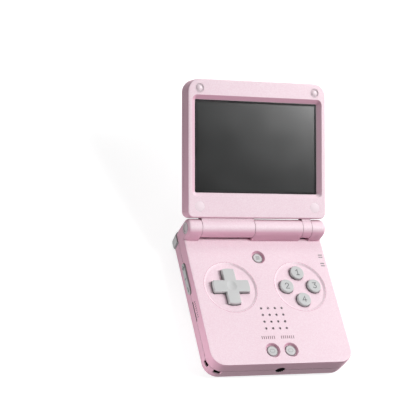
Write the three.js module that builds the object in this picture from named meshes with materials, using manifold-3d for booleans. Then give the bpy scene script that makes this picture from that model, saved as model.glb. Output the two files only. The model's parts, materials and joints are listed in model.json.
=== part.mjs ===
// Clamshell handheld game console, open at the angle where its lid stops.
// Millimetres, +Z up. +X is the player's right, +Y is the rear.
// The origin is the middle of the flat bottom, which rests on the table.
import * as THREE from 'three';
import { mergeVertices } from 'three/addons/utils/BufferGeometryUtils.js';
import Module from 'manifold-3d';

const wasm = await Module();
wasm.setup();

// Driving dimensions of the whole console
const body_width = 85;
const base_depth = 87.2;
const base_height = 16.4;
const lid_thickness = 10.1;
const closed_gap = 0.35;
const open_angle = 149.3;
const barrel_radius = 5.1;
const axis_above_face = 4.75;

// Wall thicknesses and clearances shared by the shells
const wall = 1.5;
const floor_wall = 1.5;
const top_wall = 1.6;
const fit_gap = 0.3;
const slide_gap = 0.25;
const seam_gap = 0.3;
const contact_gap = 0.1;

// Places worked out from the driving dimensions
const half_width = body_width / 2;
const front_y = -base_depth / 2;
const rear_y = base_depth / 2;
const axis_y = rear_y - barrel_radius;
const axis_z = base_height + axis_above_face;
const seam_below_face = 7.2;
const seam_z = base_height - seam_below_face;
const face_inside = base_height - top_wall;

// Base outline and its edges
const base_front_corner = 8.2;
const base_rear_corner = 3;
const top_edge_radius = 1.1;
const bottom_bevel = { width: 3, height: 2.7 };
const rear_bevel = { width: 0.8, height: 0.8 };
const draft_start = 0.8;
const side_draft = { width: 0.6, height: seam_z - draft_start };
const ear_rounding = 2.4;
const ceiling_drop = 2.4;
const housing_inside_z = base_height - ceiling_drop;

// Knuckles along the hinge: widths at the ends, and where the middle one starts
const knuckle = { left_ear: 8.4, right_ear: 8.8, right_end: 14.7, middle_share: 0.045 };
const joint_split = 0.2;
const knuckle_edges = {
  ear_left: -half_width + knuckle.left_ear,
  middle_left: -half_width * knuckle.middle_share,
  middle_right: half_width - knuckle.right_end,
  ear_right: half_width - knuckle.right_ear,
};
const trough = { clearance: 0.4, reach: 3.8, depth: 6.4, rear_drop: 2.6 };
const bore = { radius: 3.4, right_inset: 2.5 };

// Round wells in the face, and the controls in them
const well = { from_rear: 39.85, radius: 15.6, rim_width: 1.2, depth: 0.6, pad_radius: 17, pad_wall: 1.3 };
const well_x = half_width / 2;
const well_y = rear_y - well.from_rear;
const well_floor = base_height - well.depth;
const pad_under = well_floor - well.pad_wall;
const cross = { reach: 10.95, arm_half: 3.62, end_bulge: 0.5, rise: 1.7, edge: 0.45 };
const cross_flange = { drop: 0.85, thick: 1.3, radius: 11.4 };
const dimple = { ball_radius: 8.5, depth: 0.6 };
const pivot = { radius: 1.6, thick: 0.35 };
const action = { circle: 8.5, radius: 4.15, rise: 1.1, edge: 0.4, flange_radius: 5.05, flange_thick: 1.3 };
const menu = { from_rear: 20.9, rim: 4.1, throat: 3.3, cap: 2.85, sink: 0.9 };
const pair = { from_front: 8.3, x: 5.45, rim: 4.35, throat: 3.5, cap: 3.05, sink: 0.8 };
const menu_y = rear_y - menu.from_rear;
const pair_y = front_y + pair.from_front;
const small_well_depth = 1.3;
const small_pad_under = base_height - small_well_depth - well.pad_wall;
const small_flange = { extra: 0.9, thick: 0.6 };

// Speaker holes and the light marks beside the right edge
const grille = { from_front: 27.7, pitch: 4.15, count: 4, hole: 0.5 };
const grille_y = front_y + grille.from_front;
const light = { inset: 3.3, length: 2.5, width: 0.6, plate_thick: 0.9 };
const lights_from_rear = [19.6, 21.1, 25.1, 26.6];
const light_x = half_width - light.inset;
const light_rows = lights_from_rear.map((distance) => rear_y - distance);

// Openings in the side, rear and front walls
const rocker = { y_share: 0.149, above_seam: 0.3, length: 18.9, height: 3.1, proud: 0.9 };
const rocker_flange = { length: 21.4, height: 4.4, gap: 0.55, thick: 0.75, nub: 0.35, nub_half: 0.8 };
const rocker_y = base_depth * rocker.y_share;
const rocker_z = seam_z + rocker.above_seam;
const side_button_drop = 0.1;
const side_button_z = seam_z - side_button_drop;
const power_share = 0.1525;
const power_to_reset = 11.8;
const power = { y: base_depth * power_share, length: 8.6, height: 2.9, proud: 0.7 };
const reset = { y: power.y - power_to_reset, length: 4.8, height: 2.3, proud: 0.35 };
const side_flange = { margin: 0.8, thick: 0.8 };
const board_drop = 6.2;
const board = { low: base_height - board_drop, thick: 1, margin: 2.3, post_gap: 0.5, corner_gap: 0.7 };
const board_top = board.low + board.thick;
const card = { from_rocker: 20.4, from_reset: 11.2, length: 12, height: 1, below_board: 0.75 };
const card_left_y = rocker_y - card.from_rocker;
const card_right_y = reset.y - card.from_reset;
const card_z = board.low - card.below_board;
const thumb_notch = { radius: 7, depth: 0.7, drop: 5.4 };
const port_drop = 0.5;
const port_z = seam_z - port_drop;
const usb_share = 0.221;
const hdmi_share = 0.151;
const usb = { x: -half_width * usb_share, width: 9.2 };
const hdmi = { x: half_width * hdmi_share, width: 11.8 };
const port_height = 2.7;
const jack = { mouth: 2.9, bore: 1.8 };

// Shoulder caps at the rear corners
const outer_cap_share = { from: 0.76, to: 1.035 };
const inner_cap_share = { from: 0.428, to: 0.65 };
const outer_cap_reach = 6.4;
const inner_cap_reach = 2.9;
const capOf = (share, reach) => ({ from: half_width * share.from, to: half_width * share.to, reach });
const outer_cap = capOf(outer_cap_share, outer_cap_reach);
const inner_cap = capOf(inner_cap_share, inner_cap_reach);
const cap_proud = 0.6;
const cap_wall = 1.7;
const cap_travel_room = 1.2;
const cap_flange = { thick: 0.9, margin: 1.2, low: 2.4, below_seam: 1 };

// Strap loop through the front left corner
const strap = { below_seam: 3.3, inner: 4.6, post_inner: 6.2, pad_radius: 7.4, pad_thick: 1.4 };
const strap_turn = { start: 182, post_start: 209, post_end: 236, end: 268 };

// Case screws and their posts
const case_screw = { inset: 6.1, from_front: 10.4, from_rear: 16.7, below_seam: 4.2 };
const case_post = { outer: 3.9, well: 2.7, hole: 1.25 };
const case_screw_x = half_width - case_screw.inset;
const case_screw_seat = seam_z - case_screw.below_seam;
const screw_body = { head: 2.2, head_high: 1.6, shank: 0.95, length: 7 };
const screw_slot = { width: 0.6, deep: 0.5, reach_share: 0.7 };
const boss = { radius: 2.8, bore: 1.1, depth: 6.8, ring: 1.6 };
const pry_notch = { inset: 8.2, length: 2.2, size: 0.5 };
const boss_low = case_screw_seat + floor_wall + fit_gap;
const boss_high = boss_low + boss.depth;

// Parts inside the base
const battery = { side_room: 15.5, end_room: 18.6, above: 2.4, y: -3, corner: 2 };
const speaker = { radius: 9.6, thick: 2.9, cone_radius: 7.4, cone_deep: 1.2 };
const jack_body = { width: 11, depth: 11.5, height: 5 };
const socket_gap = 0.5;
const socket_body = { depth: 7.2, height: 3.2, mouth_deep: 5.6, skin: 0.4 };
const card_body = { width: 14.2, depth: 14.6, height: 1.9, mouth_deep: 12.5 };
const membrane = { thick: 0.3, dome_high: 0.35, dome_radius: 2.2, margin: 1.6 };
const switch_board = { thick: 1, low: 1.8, below_seam: 0.8, side_room: 4.9, overlap: 0.7, cap_room: 0.95 };
const tact = { width: 4.4, height: 3.4, thick: 1.6, plunger: 1, plunger_long: 0.7 };

// Lid, drawn flat with the screen up and the hinge axis at the origin
const lid_start = 5.6;
const lid_end = axis_y - front_y;
const lid_inner_z = axis_above_face - closed_gap;
const lid_back_z = lid_inner_z - lid_thickness;
const lid_seam_z = -1.7;
const lid_hinge_corner = 3.4;
const lid_free_corner = 7;
const lid_edge_radius = 0.9;
const lid_back_edge = 1.5;
const lid_wall = 1.5;
const lid_face_wall = 1.5;
const screen = { side_border: 5.1, end_border: 12.75, shift: 1.35, recess: 2, slope: 2.5, corner: 0.4 };
const screen_half_x = half_width - screen.side_border;
const screen_half_y = (lid_end - lid_start) / 2 - screen.end_border;
const screen_y = (lid_start + lid_end) / 2 + screen.shift;
const glass = { thick: 1.1, ledge: 1.8, ledge_thick: 1, frame_wall: 1.3 };
const panel = { margin: 0.4, thick: 2.6 };
const neck = { low: -1.5, high: 3, reach: 7.2 };
const ribbon = { from_ear: 14.1, from_middle: 6.1, thick: 0.3, coil: 2.6, end: 15, slot: 0.9 };
const bumper_place = { inset: 7, from_start: 6.25, from_end: 5.1 };
const bumper = { radius: 2.4, recess: 2.9, thick: 1.2, proud: 0.2, soft_edge: 0.6 };
const lid_screw = { head: 2.1, head_high: 1, seat: 1.6, shank: 0.9, length: 4.6 };
const lid_post = { outer: 3.8, boss: 2.3, bore: 1 };
const badge = { from_end: 7, half_x: 12.1, half_y: 3.7, rim: 1, sink: 0.5 };
const badge_thick = { rim: 0.4, plate: 0.3, end_flat: 0.01 };
const badge_y = lid_end - badge.from_end;

// Hinge hardware
const bush = { outer: 3.1, inner: 2, inset: 1.6, past_ear: 10.1 };
const cap_disc = { radius: 3.2, inset: 0.1, thick: 1.2, dish: 0.3, dish_radius: 2.3 };
const cartridge = { radius: 3.1, inset: 2.9, length: 29.6, pin: 1.4, pin_long: 3.5 };
const cartridge_groove = { from_end: 14, deep: 0.3, width: 0.8 };

// Smoothness of the round parts
const sides = { barrel: 36, well: 44, button: 24, small: 14, screw: 8, hole: 6 };
const corner_steps = 3;
const edge_steps = 2;
const least_corner = 1;
const cut_margin = 1;

// Boolean helpers
function solid(geometry) {
  const bare = new THREE.BufferGeometry();
  bare.setAttribute('position', geometry.attributes.position);
  if (geometry.index) bare.setIndex(geometry.index);
  const merged = mergeVertices(bare);
  const vertProperties = new Float32Array(merged.attributes.position.array);
  const triVerts = new Uint32Array(merged.index.array);
  return new wasm.Manifold(new wasm.Mesh({ numProp: 3, vertProperties, triVerts }));
}

function joined(...pieces) {
  return pieces.reduce((whole, piece) => whole.add(piece));
}

function box(left, right, front, back, low, high) {
  const geometry = new THREE.BoxGeometry(right - left, back - front, high - low);
  geometry.translate((left + right) / 2, (front + back) / 2, (low + high) / 2);
  return solid(geometry);
}

// A cone or cylinder standing on Z
function post(x, y, low, high, low_radius, high_radius = low_radius, count = sides.small) {
  const geometry = new THREE.CylinderGeometry(high_radius, low_radius, high - low, count);
  geometry.rotateX(Math.PI / 2);
  geometry.translate(x, y, (low + high) / 2);
  return solid(geometry);
}

// A plain cylinder standing on Z
function upright(x, y, low, high, radius, count) {
  return post(x, y, low, high, radius, radius, count);
}

// A box around a middle point in plan
function block(x, y, half_x, half_y, low, high) {
  return box(x - half_x, x + half_x, y - half_y, y + half_y, low, high);
}

// A cylinder lying along X
function barrel(left, right, y, z, radius, count = sides.barrel) {
  const geometry = new THREE.CylinderGeometry(radius, radius, right - left, count);
  geometry.rotateZ(Math.PI / 2);
  geometry.translate((left + right) / 2, y, z);
  return solid(geometry);
}

function slab(shape, low, high) {
  const settings = { depth: high - low, bevelEnabled: false, curveSegments: corner_steps };
  const geometry = new THREE.ExtrudeGeometry(shape, settings);
  geometry.translate(0, 0, low);
  return solid(geometry);
}

// A slab whose two flat ends are eased: one step makes a bevel, more make a round
function easedSlab(shape, low, high, width, height, steps) {
  const settings = {
    depth: high - low - 2 * height,
    bevelEnabled: true,
    bevelSize: width,
    bevelOffset: -width,
    bevelThickness: height,
    bevelSegments: steps,
    curveSegments: corner_steps,
  };
  const geometry = new THREE.ExtrudeGeometry(shape, settings);
  geometry.translate(0, 0, low + height);
  return solid(geometry);
}

function easedTop(shape, low, high, width, height, steps) {
  const room = body_width * 2;
  const trim = box(-room, room, -room, room, low, high + cut_margin);
  return easedSlab(shape, low - height - cut_margin, high, width, height, steps).intersect(trim);
}

function easedBottom(shape, low, high, width, height, steps) {
  const room = body_width * 2;
  const trim = box(-room, room, -room, room, low - cut_margin, high);
  return easedSlab(shape, low, high + height + cut_margin, width, height, steps).intersect(trim);
}

// Rectangle with round corners: near corners first, then far corners
function roundedRectangle(left, right, near, far, near_radius, far_radius = near_radius) {
  const shape = new THREE.Shape();
  const quarter = Math.PI / 2;
  shape.absarc(right - near_radius, near + near_radius, near_radius, -quarter, 0);
  shape.absarc(right - far_radius, far - far_radius, far_radius, 0, quarter);
  shape.absarc(left + far_radius, far - far_radius, far_radius, quarter, Math.PI);
  shape.absarc(left + near_radius, near + near_radius, near_radius, Math.PI, Math.PI + quarter);
  return shape;
}

// A bar with fully round ends, seen from its end wall and pushed along X
function sideBar(y, z, length, height, left, right) {
  const half = length / 2;
  const radius = height / 2;
  const shape = new THREE.Shape();
  shape.absarc(y + half - radius, z, radius, -Math.PI / 2, Math.PI / 2);
  shape.absarc(y - half + radius, z, radius, Math.PI / 2, Math.PI * 1.5);
  return alongX(shape, left, right);
}

function turnToX(geometry) {
  const basis = new THREE.Matrix4();
  basis.makeBasis(new THREE.Vector3(0, 1, 0), new THREE.Vector3(0, 0, 1), new THREE.Vector3(1, 0, 0));
  geometry.applyMatrix4(basis);
  return solid(geometry);
}

function alongX(shape, left, right) {
  const settings = { depth: right - left, bevelEnabled: false, curveSegments: corner_steps };
  const geometry = new THREE.ExtrudeGeometry(shape, settings);
  geometry.translate(0, 0, left);
  return turnToX(geometry);
}

// A rounded slot seen from the rear or front, pushed along Y
function alongY(shape, front, back) {
  const settings = { depth: back - front, bevelEnabled: false, curveSegments: corner_steps };
  const geometry = new THREE.ExtrudeGeometry(shape, settings);
  geometry.rotateX(Math.PI / 2);
  geometry.translate(0, back, 0);
  return solid(geometry);
}

function meshOf(name, piece, material) {
  const { vertProperties, triVerts } = piece.getMesh();
  const geometry = new THREE.BufferGeometry();
  geometry.setAttribute('position', new THREE.BufferAttribute(new Float32Array(vertProperties), 3));
  geometry.setIndex(new THREE.BufferAttribute(new Uint32Array(triVerts), 1));
  geometry.computeVertexNormals();
  const mesh = new THREE.Mesh(geometry, material);
  mesh.name = name;
  return mesh;
}

// Materials
const paint = (color, roughness, metalness) => (
  new THREE.MeshStandardMaterial({ color, roughness, metalness })
);
const pink = paint(0xf1dbe4, 0.42, 0.1);
const grey = paint(0xc9cecb, 0.5, 0);
const pale_rubber = paint(0xefe2e8, 0.8, 0);
const dark_glass = paint(0x3c3e3f, 0.08, 0);
const panel_black = paint(0x151617, 0.4, 0.1);
const silver = paint(0xc7c9cb, 0.25, 1);
const badge_grey = paint(0x3c413f, 0.35, 0.3);
const board_green = paint(0x1f5b3c, 0.6, 0);
const battery_foil = paint(0x8f959a, 0.4, 0.6);
const steel = paint(0x9a9da0, 0.3, 1);
const black_plastic = paint(0x1d1d1f, 0.55, 0);
const carbon_rubber = paint(0x6d7072, 0.8, 0);
const flex_orange = paint(0xb5702c, 0.5, 0);
const clear_grey = paint(0xb9c2bd, 0.2, 0);

// Base outline, drawn in by an inset for the cavities
function baseOutline(inset, back = rear_y - inset, rear_corner = base_rear_corner - inset) {
  const front_radius = base_front_corner - inset;
  const rear_radius = Math.max(rear_corner, least_corner);
  const side = half_width - inset;
  return roundedRectangle(-side, side, front_y + inset, back, front_radius, rear_radius);
}

function casePlaces() {
  const places = [];
  for (const x of [-case_screw_x, case_screw_x]) {
    for (const y of [front_y + case_screw.from_front, rear_y - case_screw.from_rear]) places.push([x, y]);
  }
  return places;
}

// The raised housing over the hinge axis: a round back on straight legs
function hingeHousing() {
  const shape = new THREE.Shape();
  shape.moveTo(axis_y - barrel_radius, seam_z);
  shape.lineTo(axis_y + barrel_radius, seam_z);
  shape.absarc(axis_y, axis_z, barrel_radius, 0, Math.PI);
  const settings = {
    depth: body_width - 2 * ear_rounding,
    bevelEnabled: true,
    bevelSize: ear_rounding,
    bevelOffset: -ear_rounding,
    bevelThickness: ear_rounding,
    bevelSegments: edge_steps + 1,
    curveSegments: sides.barrel / 4,
  };
  const geometry = new THREE.ExtrudeGeometry(shape, settings);
  geometry.translate(0, 0, -half_width + ear_rounding);
  const room = half_width + cut_margin;
  const above = axis_z + barrel_radius + cut_margin;
  const trim = box(-room, room, front_y, rear_y + cut_margin, seam_z + ear_rounding, above);
  return turnToX(geometry).intersect(trim);
}

// Space that a lid knuckle turns in, with an open slot in front of it
function turningSpace(left, right) {
  const reach = barrel_radius + trough.clearance;
  const above = axis_z + barrel_radius + cut_margin;
  const front = axis_y - reach - cut_margin;
  const behind = rear_y + cut_margin;
  const turning = barrel(left, right, axis_y, axis_z, reach);
  const slot = box(left, right, axis_y - trough.reach, axis_y, axis_z - trough.depth, axis_z);
  const open_front = box(left, right, front, axis_y, base_height, above);
  const open_rear = box(left, right, axis_y, behind, axis_z - trough.rear_drop, above);
  return joined(turning, slot, open_front, open_rear);
}

function hingeSpaces() {
  const edges = knuckle_edges;
  const left_space = turningSpace(edges.ear_left, edges.middle_left);
  const right_space = turningSpace(edges.middle_right, edges.ear_right);
  const middle = edges.middle_right;
  const left_bore = barrel(-half_width - cut_margin, middle, axis_y, axis_z, bore.radius, sides.small);
  const right_end = half_width - bore.right_inset;
  const right_bore = barrel(middle - cut_margin, right_end, axis_y, axis_z, bore.radius, sides.small);
  return joined(left_space, right_space, left_bore, right_bore);
}

// Openings that both halves of the base share
function wallOpenings() {
  const deep = wall + cut_margin;
  const left_out = -half_width - cut_margin;
  const left_in = -half_width + deep;
  const right_in = half_width - deep;
  const right_out = half_width + cut_margin;
  const gap = 2 * slide_gap;
  const pieces = [
    sideBar(rocker_y, rocker_z, rocker.length + gap, rocker.height + gap, left_out, left_in),
    sideBar(power.y, side_button_z, power.length + gap, power.height + gap, right_in, right_out),
    sideBar(reset.y, side_button_z, reset.length + gap, reset.height + gap, right_in, right_out),
    sideBar(card_left_y, card_z, card.length, card.height, left_out, left_in),
    sideBar(card_right_y, card_z, card.length, card.height, right_in, right_out),
    portHole(usb, rear_y - deep, rear_y + cut_margin),
    portHole(hdmi, rear_y - deep, rear_y + cut_margin),
    jackMouth(deep),
  ];
  return joined(...pieces);
}

function portHole(port, front, back) {
  const half = port.width / 2;
  const radius = port_height / 2;
  const shape = new THREE.Shape();
  shape.absarc(port.x + half - radius, -port_z, radius, -Math.PI / 2, Math.PI / 2);
  shape.absarc(port.x - half + radius, -port_z, radius, Math.PI / 2, Math.PI * 1.5);
  const hole = alongY(shape, front, back);
  return hole.mirror([0, 0, 1]);
}

function jackMouth(deep) {
  const geometry = new THREE.CylinderGeometry(jack.mouth, jack.mouth, deep + cut_margin, sides.small);
  geometry.translate(0, front_y + (deep - cut_margin) / 2, port_z);
  return solid(geometry);
}

// Cross outline with slightly bulged arm ends
function crossShape(reach, arm_half, bulge) {
  const shape = new THREE.Shape();
  shape.moveTo(arm_half, arm_half);
  shape.lineTo(arm_half, reach - bulge);
  shape.quadraticCurveTo(0, reach + bulge, -arm_half, reach - bulge);
  shape.lineTo(-arm_half, arm_half);
  shape.lineTo(-reach + bulge, arm_half);
  shape.quadraticCurveTo(-reach - bulge, 0, -reach + bulge, -arm_half);
  shape.lineTo(-arm_half, -arm_half);
  shape.lineTo(-arm_half, -reach + bulge);
  shape.quadraticCurveTo(0, -reach - bulge, arm_half, -reach + bulge);
  shape.lineTo(arm_half, -arm_half);
  shape.lineTo(reach - bulge, -arm_half);
  shape.quadraticCurveTo(reach + bulge, 0, reach - bulge, arm_half);
  return shape;
}

function actionPlaces() {
  return [
    ['action_button_up', well_x, well_y + action.circle],
    ['action_button_left', well_x - action.circle, well_y],
    ['action_button_right', well_x + action.circle, well_y],
    ['action_button_down', well_x, well_y - action.circle],
  ];
}

// Recesses and through holes of the top face
function faceOpenings() {
  const above = base_height + cut_margin;
  const below = pad_under - cut_margin;
  const slope = well.rim_width / well.depth;
  const wells = [-well_x, well_x].map((x) => {
    const low_radius = well.radius - well.rim_width;
    const high_radius = well.radius + slope * cut_margin;
    return post(x, well_y, well_floor, above, low_radius, high_radius, sides.well);
  });
  const cross_hole = crossShape(cross.reach + fit_gap, cross.arm_half + fit_gap, cross.end_bulge);
  const through = slab(cross_hole, below, above).translate([-well_x, well_y, 0]);
  const holes = actionPlaces().map(([, x, y]) => (
    upright(x, y, below, above, action.radius + slide_gap, sides.button)
  ));
  return joined(...wells, through, ...holes, ...smallButtonHoles(), ...grilleHoles(), ...lightSlots());
}

function smallPlaces() {
  return [
    ['menu_button', menu, 0, menu_y],
    ['select_button', pair, -pair.x, pair_y],
    ['start_button', pair, pair.x, pair_y],
  ];
}

function smallButtonHoles() {
  const holes = [];
  for (const [, style, x, y] of smallPlaces()) {
    const floor = base_height - small_well_depth;
    const slope = (style.rim - style.throat) / small_well_depth;
    const mouth = style.rim + slope * cut_margin;
    holes.push(post(x, y, floor, base_height + cut_margin, style.throat, mouth, sides.button));
    holes.push(post(x, y, small_pad_under - cut_margin, base_height, style.cap + slide_gap));
  }
  return holes;
}

function grilleHoles() {
  const holes = [];
  const middle = (grille.count - 1) / 2;
  for (let column = 0; column < grille.count; column += 1) {
    for (let row = 0; row < grille.count; row += 1) {
      const x = (column - middle) * grille.pitch;
      const y = grille_y + (row - middle) * grille.pitch;
      const above = base_height + cut_margin;
      holes.push(upright(x, y, face_inside - cut_margin, above, grille.hole, sides.hole));
    }
  }
  return holes;
}

function lightSlots(shrink = 0) {
  const half_long = light.length / 2 - shrink;
  const half_wide = light.width / 2 - shrink;
  const high = shrink > 0 ? base_height : base_height + cut_margin;
  const low = face_inside - cut_margin;
  return light_rows.map((y) => block(light_x, y, half_long, half_wide, low, high));
}

function strapCentre() {
  return [-half_width + base_front_corner, front_y + base_front_corner];
}

// Ring sector around the front left corner
function strapSector(inner, outer, start, end, low, high) {
  const [x, y] = strapCentre();
  const shape = new THREE.Shape();
  const from = THREE.MathUtils.degToRad(start);
  const to = THREE.MathUtils.degToRad(end);
  shape.absarc(x, y, outer, from, to, false);
  shape.absarc(x, y, inner, to, from, true);
  return slab(shape, low, high);
}

function strapPassage() {
  const outside = base_front_corner + cut_margin;
  const { inner, post_inner } = strap;
  const low = seam_z - strap.below_seam;
  const high = seam_z + cut_margin;
  const behind = strapSector(inner, post_inner, strap_turn.start, strap_turn.end, low, high);
  const left = strapSector(inner, outside, strap_turn.start, strap_turn.post_start, low, high);
  const right = strapSector(inner, outside, strap_turn.post_end, strap_turn.end, low, high);
  return joined(behind, left, right);
}

// Base, upper half
function baseUpperShell() {
  const edge = top_edge_radius;
  const rounded = easedTop(baseOutline(0), seam_z, base_height, edge, edge, edge_steps);
  const outer = joined(rounded, hingeHousing());
  const below = seam_z - cut_margin;
  const behind_face = axis_y - barrel_radius - wall;
  const low_room = slab(baseOutline(wall), below, housing_inside_z);
  const high_room = slab(baseOutline(wall, behind_face), below, face_inside);
  const pads = joined(...facePads());
  const cavity = joined(low_room, high_room).subtract(pads);
  const openings = joined(hingeSpaces(), faceOpenings(), wallOpenings());
  const hollow = outer.subtract(cavity).subtract(openings);
  const low = boss_low - cut_margin;
  const columns = casePlaces().map(([x, y]) => post(x, y, boss_low, face_inside, boss.radius));
  const rings = casePlaces().map(([x, y]) => (
    post(x, y, board_top + fit_gap, face_inside, boss.radius + boss.ring)
  ));
  const bores = casePlaces().map(([x, y]) => upright(x, y, low, boss_high, boss.bore, sides.screw));
  return joined(hollow, ...columns, ...rings).subtract(joined(...bores)).subtract(lightPlate(fit_gap));
}

function facePads() {
  const pads = [-well_x, well_x].map((x) => (
    upright(x, well_y, pad_under, base_height, well.pad_radius, sides.well)
  ));
  for (const [, style, x, y] of smallPlaces()) {
    pads.push(post(x, y, small_pad_under, base_height, style.rim + wall));
  }
  const [x, y] = strapCentre();
  pads.push(post(x, y, seam_z, seam_z + strap.pad_thick, strap.pad_radius));
  return pads;
}

// Base, lower half
function baseLowerShell() {
  const top = seam_z - seam_gap;
  const outer = lowerOutside(0, 0, top);
  const room = lowerOutside(wall, floor_wall, top + cut_margin);
  const [x, y] = strapCentre();
  const corner = upright(x, y, 0, top, base_front_corner - wall / 2, sides.button);
  const corner_inside = corner.intersect(outer);
  const posts = casePlaces().map(([px, py]) => (
    post(px, py, 0, case_screw_seat + floor_wall, case_post.outer).intersect(outer)
  ));
  let shell = joined(outer.subtract(room), corner_inside, ...posts);
  for (const [px, py] of casePlaces()) {
    shell = shell.subtract(post(px, py, -cut_margin, case_screw_seat, case_post.well));
    shell = shell.subtract(upright(px, py, 0, seam_z, case_post.hole, sides.screw));
    shell = shell.subtract(post(px, py, boss_low - fit_gap, seam_z, boss.radius + fit_gap));
  }
  shell = shell.subtract(strapPassage()).subtract(wallOpenings()).subtract(rightThumbNotch());
  return shell.subtract(joined(...shoulderSpaces(), ...pryNotches()));
}

// Outer or inner surface of the lower half: draft, bevelled bottom edge, plainer rear edge
function lowerOutside(inset, low, high) {
  const bevel = bottom_bevel;
  const corner = bevel.width + cut_margin;
  const longer = baseOutline(inset, rear_y + bevel.width + corner, corner);
  const bevelled = easedBottom(longer, low, high, bevel.width, bevel.height, 1);
  const drafted = easedBottom(baseOutline(inset), low, high, side_draft.width, side_draft.height, 1);
  const rear = easedBottom(baseOutline(inset), low, high, rear_bevel.width, rear_bevel.height, 1);
  return bevelled.intersect(drafted).intersect(rear);
}

function pryNotches() {
  const y = front_y + bottom_bevel.width + side_draft.width / 2;
  const { length, size } = pry_notch;
  const side = half_width - pry_notch.inset;
  return [-side, side].map((x) => (
    box(x - length / 2, x + length / 2, y - size, y + size, -cut_margin, size)
  ));
}

// Half-moon finger notch under the right card slot
function rightThumbNotch() {
  const { radius, depth, drop } = thumb_notch;
  const outside = half_width + cut_margin;
  const notch = barrel(half_width - depth, outside, card_right_y, card_z + drop, radius, sides.button);
  const low = card_z - card.length / 2;
  const trim = box(0, outside, card_right_y - radius, card_right_y + radius, low, card_z);
  return notch.intersect(trim);
}

// Shoulder caps: pieces of the base's own surface, grown a little, at the rear corners
function capRegion(cap, side, grow) {
  const left = side > 0 ? cap.from - grow : -cap.to - grow;
  const right = side > 0 ? cap.to + grow : -cap.from + grow;
  return [left, right];
}

function shoulderCap(cap, side) {
  const [left, right] = capRegion(cap, side, 0);
  const top = seam_z - seam_gap - fit_gap;
  const back = rear_y + cap_proud + cut_margin;
  const grown = lowerOutside(-cap_proud, -cap_proud, top);
  const inside = lowerOutside(cap_wall - cap_proud, cap_wall - cap_proud, top + cut_margin);
  const window_box = box(left, right, rear_y - cap.reach, back, -cap_proud - cut_margin, top);
  let skin = grown.subtract(inside).intersect(window_box);
  skin = skin.intersect(box(left, right, front_y, back, contact_gap, top));
  const flange_back = rear_y - wall - side_draft.width - fit_gap;
  const limit = half_width - wall - side_draft.width - fit_gap;
  const flange_left = Math.max(left - cap_flange.margin, -limit);
  const flange_right = Math.min(right + cap_flange.margin, limit);
  const front = flange_back - cap_flange.thick;
  const high = seam_z - cap_flange.below_seam;
  const flange = box(flange_left, flange_right, front, flange_back, cap_flange.low, high);
  const inner_left = Math.max(left, -limit);
  const inner_right = Math.min(right, limit);
  const web_back = rear_y - cap_wall / 2;
  const web = box(inner_left, inner_right, front, web_back, cap_flange.low, high);
  return joined(skin, flange, web);
}

function shoulderSpaces() {
  const spaces = [];
  for (const side of [-1, 1]) {
    for (const cap of [outer_cap, inner_cap]) {
      const [left, right] = capRegion(cap, side, fit_gap);
      const front = rear_y - cap.reach - cap_travel_room;
      const back = rear_y + cut_margin;
      spaces.push(box(left, right, front, back, -cut_margin, seam_z));
    }
  }
  return spaces;
}

// Parts inside the base
function mainBoard() {
  const inset = wall + board.margin;
  let piece = slab(baseOutline(inset), board.low, board_top);
  for (const [x, y] of casePlaces()) {
    piece = piece.subtract(post(x, y, 0, base_height, boss.radius + board.post_gap));
  }
  const [x, y] = strapCentre();
  piece = piece.subtract(post(x, y, 0, base_height, strap.pad_radius + board.corner_gap));
  const half = jack_body.width / 2 + fit_gap;
  const back = front_y + wall + fit_gap + jack_body.depth + fit_gap;
  return piece.subtract(box(-half, half, front_y, back, 0, base_height));
}

function batteryPack() {
  const { side_room, end_room, above, y, corner } = battery;
  const low = floor_wall + fit_gap;
  const side = half_width - side_room;
  const end = rear_y - end_room;
  const shape = roundedRectangle(-side, side, y - end, y + end, corner);
  return easedSlab(shape, low, board.low - above, corner / 2, corner / 2, 1);
}

function speakerUnit() {
  const high = face_inside - fit_gap;
  const low = high - speaker.thick;
  const can = upright(0, grille_y, low, high, speaker.radius, sides.button);
  const cone_floor = high - speaker.cone_deep;
  const inner = speaker.cone_radius / 2;
  const above = high + cut_margin;
  return can.subtract(post(0, grille_y, cone_floor, above, inner, speaker.cone_radius, sides.button));
}

function audioJack() {
  const half = jack_body.width / 2;
  const front = front_y + wall + fit_gap;
  const body = box(-half, half, front, front + jack_body.depth, board_top - jack_body.height, board_top);
  const geometry = new THREE.CylinderGeometry(jack.bore, jack.bore, jack_body.depth, sides.small);
  geometry.translate(0, front + (jack_body.depth - cut_margin) / 2 - cut_margin, port_z);
  return body.subtract(solid(geometry));
}

function rearSocket(port) {
  const back = rear_y - wall - socket_gap;
  const half = port.width / 2;
  const low = board.low - socket_body.height;
  const { skin, mouth_deep } = socket_body;
  const { x } = port;
  const front = back - socket_body.depth;
  const inside = half - skin;
  const body = box(x - half, x + half, front, back, low, board.low);
  const mouth_front = back - mouth_deep;
  const mouth = box(x - inside, x + inside, mouth_front, back + cut_margin, low + skin, board.low - skin);
  const tongue = box(x - half / 2, x + half / 2, front, back - skin, port_z - skin, port_z + skin);
  return joined(body.subtract(mouth), tongue);
}

function cardSlot(side, y) {
  const near = half_width - wall - fit_gap;
  const far = near - card_body.depth;
  const half = card_body.width / 2;
  const low = board.low - card_body.height;
  const ends = side > 0 ? [far, near] : [-near, -far];
  const body = box(ends[0], ends[1], y - half, y + half, low, board.low);
  const reach = near - card_body.mouth_deep;
  const mouth_ends = side > 0 ? [reach, near + cut_margin] : [-near - cut_margin, -reach];
  const mouth_half = card.length / 2;
  const mouth_low = card_z - card.height / 2;
  const mouth_high = mouth_low + card.height;
  const mouth = box(mouth_ends[0], mouth_ends[1], y - mouth_half, y + mouth_half, mouth_low, mouth_high);
  return body.subtract(mouth);
}

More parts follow.
